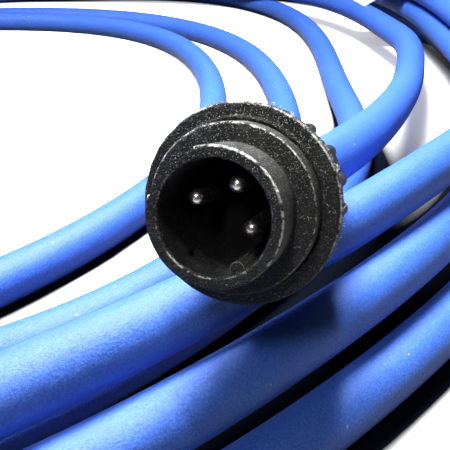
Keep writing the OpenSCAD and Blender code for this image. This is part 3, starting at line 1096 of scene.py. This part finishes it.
@dataclass(frozen=True)
class PinPlug:
    """Shell, key and grip of the pin plug, turned pieces with worn edges."""

    place: PlugPlace
    finish: Material
    shroud_r: float = 9.5
    bore_r: float = 7.75
    bore_end: float = 15.8
    proud: float = 7.3
    collar_r: float = 12.3
    spigot_r: float = 11.0
    spigot_end: float = 24.0
    wire_bore_r: float = 8.7
    catch_at: float = 119.0
    recess_from: float = 81.0
    recess_to: float = 139.0
    recess_deep: float = 0.45
    groove_half: float = 17.0
    groove_from: float = 4.2
    groove_to: float = 7.4
    groove_deep: float = 0.9
    near: float = 0.02
    fine: float = 0.16
    segments: int = 420
    chip: float = 0.16
    key_at: float = 67.0
    key_half: float = 1.05
    key_r: float = 7.3
    key_root: float = 0.3
    key_arc: int = 10
    # Distance, share of the full width and pale-edge value (abrasion with painted highlight) of each row of
    # the key
    key_rows: Sequence[Triple] = ((0.6, 0.5, 0.0), (0.6, 0.8, 0.0), (0.66, 0.9, 0.35), (0.8, 1.0, 0.0),
                                  (1.2, 1.0, 0.0), (15.8, 1.0, 0.0))

    def shape(self, r: float, z: float, degrees: float) -> Pair:
        """Cut the outside recess and the catch groove of the shroud.

        Args:
            r: Radius of a place.
            z: Its distance along the axis.
            degrees: Its angle.

        Returns:
            The new radius and distance.
        """
        at = self.catch_at
        outside = self.shroud_r - 0.5 < r <= self.shroud_r + 0.01 and z < self.proud - self.near
        if outside and within(degrees, at + self.recess_from, at + self.recess_to):
            r = min(r, self.shroud_r - self.recess_deep)
        inside = abs(r - self.bore_r) < self.near and self.groove_from < z < self.groove_to
        if inside and within(degrees, at - self.groove_half, at + self.groove_half):
            r = self.bore_r + self.groove_deep
        return r, z

    def shell(self) -> Piece:
        """Turn the shell: shroud, stepped collar and spigot.

        Returns:
            The new object.
        """
        bore, shroud, collar, proud = self.bore_r, self.shroud_r, self.collar_r, self.proud
        outline = [(bore, self.bore_end), (bore, 0.35), (bore + 0.3, 0.05), (bore + 0.45, 0),
                   (shroud - 0.3, 0), (shroud - 0.08, 0.08), (shroud, 0.3), (shroud, proud),
                   (collar - 0.35, proud),
                   (collar - 0.1, proud + 0.1), (collar, proud + 0.35), (collar, MALE_BACK - 0.3),
                   (collar - 0.3, MALE_BACK), (self.spigot_r, MALE_BACK), (self.spigot_r, self.spigot_end),
                   (self.wire_bore_r, self.spigot_end), (self.wire_bore_r, self.bore_end)]
        # Pale edges, strongest on the side where the light falls: partly abrasion, partly painted highlight
        edges = [Edge(shroud - 0.1, 0.1, 1.0, 0.2, 196, 415), Edge(bore + 0.25, 0.08, 0.75, 0.11, 88, 150),
                 Edge(bore + 0.25, 0.08, 0.3, 0.14), Edge(collar - 0.12, proud + 0.1, 0.55, 0.15, 200, 420)]
        turned_shell = Turned(outline, edges, self.fine, self.segments, self.chip)
        return turned_shell.build("pin_plug_shell", self.place, self.shape)

    def key(self) -> Piece:
        """Make the rib inside the bore that lets the plug in only one way.

        Returns:
            The new object.
        """
        verts, wear_and_lit_edges = [], []
        turn = Matrix.Rotation(math.radians(self.key_at), 3, "Z")
        angles = [math.radians(a) for a in range(-90, 91, 180 // self.key_arc)]
        root = self.bore_r + self.key_root
        for z, share, wear_and_lit_edge in self.key_rows:
            half = self.key_half * share
            front = [(self.key_r - half * math.cos(a), half * math.sin(a)) for a in angles]
            ring = [(root, -half), *front, (root, half)]
            verts += [self.place.world(turn @ Vector((x, y, z))) for x, y in ring]
            wear_and_lit_edges += [0.0, *[wear_and_lit_edge] * len(front), 0.0]
        count = len(angles) + 2
        faces = quads(len(self.key_rows), count, closed=False, flip=True)
        return mesh_object("pin_plug_key", verts, [*faces, tuple(reversed(range(count)))], wear_and_lit_edges)

    def dress(self) -> list[Piece]:
        """Put the pieces in the scene in place of the construction's plain ones.

        Returns:
            The pieces.
        """
        return [settle(self.shell(), self.finish, Slot.PLASTIC, "male_shell"),
                settle(self.key(), self.finish, Slot.PLASTIC),
                settle(Grip(self.place, MALE_BACK).build("pin_plug_grip"), self.finish, Slot.PLASTIC,
                       "male_backshell")]


@dataclass(frozen=True)
class Lint:
    """Short pale fibres that cling to the flange and the collar of the pin plug."""

    place: PlugPlace
    collar_z: float
    seed: int = 7
    edge_count: int = 150
    face_count: int = 60
    fibre_r: float = 0.022
    rings: int = 4
    bend: float = 0.5
    # Ranges that are drawn from: least and most, and for the angles also where most of them are
    angles: Triple = (195, 420, 300)
    slant: Pair = (-1.4, 1.4)
    edge_in: Pair = (0, 0.3)
    edge_back: Pair = (0, 1.2)
    edge_out: Pair = (0.3, 1)
    edge_length: Pair = (0.3, 1.1)
    flange_share: float = 0.7
    flange_r: Pair = (12.9, 14.7)
    collar_r: Pair = (9.9, 12)
    face_out: Pair = (-1, 1)
    face_length: Pair = (0.2, 0.6)
    face_lift: float = 0.05
    edge_lift: float = 0.3
    finish: PlainFinish = PlainFinish("pale_lint", (0.7, 0.7, 0.64), 0.8)

    def fibre(self, dice: random.Random, start: Vector, heading: Vector,
              length: float) -> tuple[list[Vector], list[Face]]:
        """Bend one fibre of a few three-sided rings.

        Args:
            dice: Where its bend is drawn from.
            start: Its foot, in the plug's millimetres.
            heading: Where it grows.
            length: Its length in millimetres.

        Returns:
            Its points in metres and its faces.
        """
        points, p = [], start.copy()
        bend = Vector([dice.uniform(-self.bend, self.bend) for _ in range(3)])
        for _ in range(self.rings):
            side = heading.orthogonal().normalized()
            other = heading.cross(side).normalized()
            points += [p + self.fibre_r * (math.cos(a) * side + math.sin(a) * other)
                       for a in (0, 2 * math.pi / 3, 4 * math.pi / 3)]
            heading = (heading + bend).normalized()
            p = p + heading * length / 3
        last = len(points) - 1
        faces = [*quads(self.rings, 3, flip=True), (2, 1, 0), (last - 2, last - 1, last)]
        return [self.place.world(q) for q in points], faces

    def foot(self, dice: random.Random, on_edge: bool) -> tuple[Vector, Vector, float]:
        """Draw where one fibre clings.

        Args:
            dice: Where it is drawn from.
            on_edge: Whether it grows from the flange's edge or lies on a face.

        Returns:
            Its foot, its heading and its length, in the plug's millimetres.
        """
        a = math.radians(dice.triangular(*self.angles))
        out, along = Vector((math.cos(a), math.sin(a), 0)), Vector((-math.sin(a), math.cos(a), 0))
        turn = dice.uniform(*self.slant)
        if on_edge:
            r, z = FLANGE_R - dice.uniform(*self.edge_in), MALE_BACK + dice.uniform(*self.edge_back)
            heading = out * dice.uniform(*self.edge_out) + along * turn + Vector((0, 0, -self.edge_lift))
            length = dice.uniform(*self.edge_length)
        else:
            on_flange = dice.random() < self.flange_share
            r = dice.uniform(*(self.flange_r if on_flange else self.collar_r))
            z = (MALE_BACK if on_flange else self.collar_z) - self.face_lift
            heading = out * dice.uniform(*self.face_out) + along * turn + Vector((0, 0, -self.face_lift))
            length = dice.uniform(*self.face_length)
        return out * r + Vector((0, 0, z)), heading.normalized(), length

    def dress(self) -> Piece:
        """Make all fibres: some along the flange's edge, some lying on the faces.

        Returns:
            The fibres as one piece.
        """
        dice = random.Random(self.seed)
        verts, faces = [], []
        for n in range(self.edge_count + self.face_count):
            points, sides = self.fibre(dice, *self.foot(dice, n < self.edge_count))
            faces += [tuple(len(verts) + k for k in side) for side in sides]
            verts += points
        return settle(mesh_object("plug_lint", verts, faces), self.finish.material(), Slot.PLASTIC)


@dataclass
class Cable:
    """The whole jacket as one tube along the centreline."""

    route: CableRoute
    male: PlugPlace
    female: PlugPlace
    finish: Jacket = Jacket()
    sides: int = 28
    skin: float = 0.06
    swell: float = 0.07
    swell_along: float = 140
    swell_round: float = 0.6
    points: list[Vector] = field(init=False)

    def __post_init__(self) -> None:
        """Lay the centreline."""
        self.points = self.route.points(self.male, self.female)

    def length(self) -> float:
        """Give the real length of the visible jacket in metres."""
        return sum((b - a).length for a, b in zip(self.points, self.points[1:]))

    def radius(self, share: float, angle: float) -> float:
        """Let the jacket swell and thin a little.

        Args:
            share: Share of the cable's length.
            angle: Place round it, in radians.

        Returns:
            The radius in metres.
        """
        slow = noise.noise(Vector((share * self.swell_along, math.cos(angle) * self.swell_round,
                                   math.sin(angle) * self.swell_round)))
        return MM * (CABLE_R - self.skin + self.swell * slow)

    def dress(self, far_pieces: Sequence[Piece]) -> Piece:
        """Args:
            far_pieces: The pieces that lie on its far end; not used.

        Returns:
            The jacket.
        """
        obj = swept("blue_cable", self.points, self.radius, self.sides)
        settle(obj, self.finish.material(), Slot.JACKET, "cable_coil", "male_lead", "female_lead")
        self.length()
        return obj


@dataclass(frozen=True)
class TapeWrap:
    """White tape round the outer laps, drawn as the outline of their rounds at each step."""

    route: CableRoute
    width: float = 33.0
    strands: int = 4
    gap: float = 0.25
    thick: float = 1.0
    rows: int = 23
    count: int = 96
    crease: float = 0.28
    crease_round: float = 0.35
    crease_along: float = 0.16
    ahead: float = 0.004
    probe: float = 0.005
    finish: PlainFinish = PlainFinish("white_tape", (0.74, 0.75, 0.77), 0.45, grain=300, lift=0.3)

    def strand(self, number: int, lap_share: float) -> Vector:
        """Find the middle of one of the taped strands."""
        return self.route.lap_point(self.route.shape.tie_first_lap + number + lap_share)

    def ring(self, lap_share: float, radius: float) -> list[Vector]:
        """Draw the outline round the laps at one place.

        Args:
            lap_share: The place, as a share of a lap.
            radius: How far the outline keeps from the strands' middles.

        Returns:
            Points from the first laps' own middle, in millimetres.
        """
        centres = [self.strand(k, lap_share) for k in range(self.strands)]
        ahead = self.strand(1, lap_share + self.ahead) - centres[1]
        across = Vector((-ahead.y, ahead.x, 0)).normalized()
        flat = [((p - centres[1]).dot(across), p.z) for p in centres]
        made = []
        for k in range(self.count):
            a = 2 * math.pi * k / self.count
            c, s = math.cos(a), math.sin(a)
            reaches = [x * c + z * s for x, z in flat]
            x, z = flat[reaches.index(max(reaches))]
            made.append(Vector((centres[1].x, centres[1].y, 0)) + across * (x + radius * c)
                        + Vector((0, 0, z + radius * s)))
        return made

    def dress(self) -> Piece:
        """Make the tape, a shell with an outside, an inside and two rims.

        Returns:
            The tape.
        """
        at, rows, count = self.route.shape.tie_at, self.rows, self.count
        step = self.strand(1, at + self.probe) - self.strand(1, at - self.probe)
        half = self.width / 2 / (step.length / (2 * self.probe))
        inner, outer = CABLE_R + self.gap, CABLE_R + self.gap + self.thick
        verts = []
        for layer in (outer, inner):
            for i in range(rows):
                share = at + half * (2 * i / (rows - 1) - 1)
                middle = self.strand(1, share)
                for k, p in enumerate(self.ring(share, layer)):
                    spot = Vector((k * self.crease_round, i * self.crease_along, 3.0))
                    crease = self.crease * noise.noise(spot) if layer == outer else 0
                    verts.append((p - (p - middle).normalized() * abs(crease) - self.route.middle) * MM)
        block = rows * count
        faces = quads(rows, count, flip=True)
        faces += [tuple(block + corner for corner in face) for face in quads(rows, count)]
        for row, flip in ((0, True), (rows - 1, False)):
            for k in range(count):
                a, b = row * count + k, row * count + (k + 1) % count
                quad = (a, b, block + b, block + a)
                faces.append(tuple(reversed(quad)) if flip else quad)
        return settle(mesh_object("white_tape", verts, faces), self.finish.material(), Slot.TAPE, "coil_tie")


@dataclass(frozen=True)
class SocketPlug:
    """The plug on the far end: turned grip, spring, and the construction's own shell, latch and contacts."""

    place: PlugPlace
    finish: Material
    spring_at: float = 18.5
    spring_floor: float = 1.6
    spring_h: float = 4.6
    spring_r: float = 1.1
    spring_turns: int = 4
    spring_play: float = 0.03
    turn_steps: int = 24
    wire_r: float = 0.22
    wire_sides: int = 10
    travel: float = 1.8
    steel: PlainFinish = PlainFinish("spring_steel", (0.55, 0.55, 0.56), 0.3, metal=1.0)
    nodes: Sequence[str] = ("female_shell", "female_insert", "female_socket_1", "female_socket_2",
                            "female_socket_3", "female_core_1", "female_core_2", "female_core_3",
                            "female_cable_clamp", "female_boot", "female_cable_end", "latch_button")

    def wire(self, share: float, angle: float) -> float:
        """Give the spring wire's radius in metres, the same all along."""
        return self.wire_r * MM

    def spring(self) -> Piece:
        """Wind the spring below the latch, which shortens as the latch is pressed.

        Returns:
            The spring.
        """
        foot = self.place.rim + self.spring_at * self.place.axis + Vector((0, 0, self.spring_floor))
        rise = self.spring_h - 2 * self.wire_r - self.spring_play
        steps = self.turn_steps * self.spring_turns
        line = []
        for k in range(steps + 1):
            a = 2 * math.pi * k / self.turn_steps
            line.append((foot + Vector((self.spring_r * math.cos(a), self.spring_r * math.sin(a),
                                        self.wire_r + rise * k / steps))) * MM)
        obj = swept("latch_coil_spring", line, self.wire, self.wire_sides)
        settle(obj, self.steel.material(), Slot.STEEL, "latch_spring")
        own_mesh(obj)
        return obj

    def dress(self) -> list[Piece]:
        """Dress the grip and the spring, and name all pieces that lie on the cable's far end.

        Returns:
            The pieces.
        """
        grip = Grip(self.place, FEMALE_BACK).build("socket_plug_grip")
        settle(grip, self.finish, Slot.PLASTIC, "female_backshell")
        return [grip, self.spring(), *(bpy.data.objects[name] for name in self.nodes)]


@dataclass(frozen=True)
class Fittings:
    """Finishes of the pieces that keep the construction's own meshes."""

    rubber: PlainFinish = PlainFinish("black_rubber", (0.012, 0.012, 0.013), 0.62, grain=1200, lift=0.3)
    insulator: PlainFinish = PlainFinish("black_insulator", (0.0025, 0.0025, 0.0025), 0.7, shine=0.15)
    contact: PlainFinish = PlainFinish("bright_contact", (0.92, 0.88, 0.8), 0.28, 1.0, grain=2400, lift=0.07)
    wire: PlainFinish = PlainFinish("wire_white", (0.7, 0.7, 0.68), 0.4)
    clamp: PlainFinish = PlainFinish("clamp_white", (0.7, 0.7, 0.68), 0.5)

    def dress(self, plastic: Material, jacket: Material) -> list[Piece]:
        """Give each of the pieces its own finish.

        Args:
            plastic: Finish of both plugs' shells.
            jacket: Finish of the cable.

        Returns:
            The pieces.
        """
        wanted = {"female_shell": plastic, "latch_button": plastic}
        rubber, dark, clamp = self.rubber.material(), self.insulator.material(), self.clamp.material()
        bright, wire = self.contact.material(), self.wire.material()
        for side, contact in (("male", "pin"), ("female", "socket")):
            wanted |= {f"{side}_insert": dark, f"{side}_boot": rubber, f"{side}_cable_clamp": clamp,
                       f"{side}_cable_end": jacket}
            for n in (1, 2, 3):
                wanted |= {f"{side}_{contact}_{n}": bright, f"{side}_core_{n}": wire}
        for name, material in wanted.items():
            materials = bpy.data.objects[name].data.materials
            materials.clear()
            materials.append(material)
        return [bpy.data.objects[name] for name in wanted]


# ---------------------------------------------------------------- stage


@dataclass(frozen=True)
class Lamp:
    """A lamp that faces a point, in metres and watts."""

    name: str
    at: Triple
    aim: Triple
    size: float
    power: float
    glow: Glow = Glow.SOFT
    cone: float = 0.0
    blend: float = 0.9

    def hang(self) -> None:
        """Put the lamp in the scene."""
        data = bpy.data.lights.new(self.name, self.glow.value)
        data.energy = self.power
        if self.glow is Glow.NARROW:
            data.spot_size = math.radians(self.cone)
            data.spot_blend = self.blend
            data.shadow_soft_size = self.size
        else:
            data.size = self.size
        obj = bpy.data.objects.new(self.name, data)
        obj.location = self.at
        obj.rotation_euler = (Vector(self.aim) - Vector(self.at)).to_track_quat("-Z", "Y").to_euler()
        bpy.context.scene.collection.objects.link(obj)


@dataclass(frozen=True)
class Stage:
    """Floor, lights and camera."""

    middle: Vector
    cable: Sequence[Vector]
    lens: float = 48.0
    sensor: float = 36.0
    clip_start: float = 0.005
    pitch: float = 31.0
    eye: Triple = (160.0, -266.0, 100.88)
    floor_half: float = 0.36
    floor_step: float = 0.005
    floor_far: Pair = (1.0, 6.0)
    chunks: int = 60
    # Distance along Y over which the painted shade on the floor behind the plug lifts, and how much sky share
    # is added there
    clear_y: Pair = (-0.08, 0.04)
    clear_sky: Pair = (0.0, 0.22)
    white: FloorFinish = FloorFinish()
    room_color: Triple = (0.95, 0.97, 1.0)
    room_light: float = 0.05
    room_seen: float = 0.7
    lamps: Sequence[Lamp] = (
        Lamp("window_lamp", (0.07, -0.06, 0.34), (0.08, -0.2, 0.03), 0.12, 5.2),
        Lamp("room_behind", (-0.1, 0.6, 1.2), (0.1, 0.1, 0.0), 1.0, 2),
        Lamp("glint", (0.06, -0.36, 0.24), (0.11, -0.22, 0.06), 0.03, 0.22),
        Lamp("plug_lamp", (0.0845, -0.2378, 0.4047), (0.1125, -0.2128, 0.0582), 0.012, 5, Glow.NARROW, 6.4),
    )

    def camera(self) -> None:
        """Stand the camera low in front of the pin plug, looking down at it."""
        data = bpy.data.cameras.new("camera")
        data.lens = self.lens
        data.sensor_width = self.sensor
        data.clip_start = self.clip_start
        camera = bpy.data.objects.new("camera", data)
        x, y, z = self.eye
        camera.location = ((x - self.middle.x) * MM, (y - self.middle.y) * MM, z * MM)
        camera.rotation_euler = (math.radians(90 - self.pitch), 0, 0)
        bpy.context.scene.collection.objects.link(camera)
        bpy.context.scene.camera = camera

    def sky_share(self, spots: np.ndarray) -> np.ndarray:
        """Work out how much of the sky each floor point sees past the cable, which the floor's finish turns
        into painted shade.

        Args:
            spots: Floor points, one row of x and y each, in metres.

        Returns:
            A share for each point, about 0 to 1.
        """
        line = np.array([tuple(p) for p in self.cable])
        step = np.linalg.norm(line[1] - line[0])
        shares = []
        for part in np.array_split(spots, self.chunks):
            away = ((part[:, None, :] - line[None, :, :2]) ** 2).sum(axis=2)
            cover = CABLE_D * MM * step * line[:, 2] / (away + line[:, 2] ** 2) ** 1.5
            shares.append(np.exp(-cover.sum(axis=1) / math.pi))
        return np.concatenate(shares) + np.interp(spots[:, 1], self.clear_y, self.clear_sky)

    def floor(self) -> None:
        """Lay the floor, fine below the coil and wide round it, carrying the sky share that paints its shade.
        """
        near = np.arange(-self.floor_half, self.floor_half + 0.0001, self.floor_step)
        edge, far = self.floor_far
        ticks = np.concatenate([[-far, -edge], near, [edge, far]])
        spots = np.array([(x, y) for x in ticks for y in ticks])
        points = [Vector((x, y, 0)) for x, y in spots]
        obj = mesh_object("floor", points, quads(len(ticks), len(ticks), closed=False))
        obj.data.attributes.new("sky", "FLOAT", "POINT").data.foreach_set("value", self.sky_share(spots))
        obj.data.materials.append(self.white.material())

    def room(self) -> None:
        """Surround the scene with a pale room that is bright only to the camera."""
        world = bpy.data.worlds.new("room")
        world.use_nodes = True
        tree = world.node_tree
        path = tree.nodes.new("ShaderNodeLightPath")
        strength = tree.nodes.new("ShaderNodeMapRange")
        strength.inputs[3].default_value, strength.inputs[4].default_value = self.room_light, self.room_seen
        tree.links.new(path.outputs["Is Camera Ray"], strength.inputs[0])
        back = tree.nodes["Background"]
        back.inputs["Color"].default_value = (*self.room_color, 1)
        tree.links.new(strength.outputs[0], back.inputs["Strength"])
        bpy.context.scene.world = world

    def dress(self) -> None:
        """Set floor, lights and the tone of the picture."""
        self.floor()
        for lamp in self.lamps:
            lamp.hang()
        self.room()
        bpy.context.scene.view_settings.view_transform = "Standard"


# ---------------------------------------------------------------- scene


def report(part: str, *pieces: Piece) -> None:
    """Log each finished piece of a part."""
    for piece in pieces:
        log.info("%s: %s, %d faces", part, piece.name, len(piece.data.polygons))


def main() -> None:
    """Build and dress the scene, one part after the other."""
    route, lay = CableRoute(LapShape()), PlugLay()
    male, female = lay.pin_plug(route), lay.socket_plug(route)
    cable = Cable(route, male, female)
    stage = Stage(route.middle, cable.points)
    stage.camera()
    plastic = WornPlasticPaintedLight().material("worn_black_plastic_painted_light", male)
    far_pieces = SocketPlug(female, plastic).dress()
    report("socket plug", *far_pieces)
    jacket = cable.dress(far_pieces)
    report("cable", jacket)
    log.info("cable: %.3f m long", cable.length())
    pin_plug = PinPlug(male, plastic)
    report("pin plug", *pin_plug.dress())
    report("lint", Lint(male, pin_plug.proud).dress())
    report("tape", TapeWrap(route).dress())
    report("fittings", *Fittings().dress(plastic, jacket.data.materials[0]))
    stage.dress()


if __name__ == "__main__":
    main()
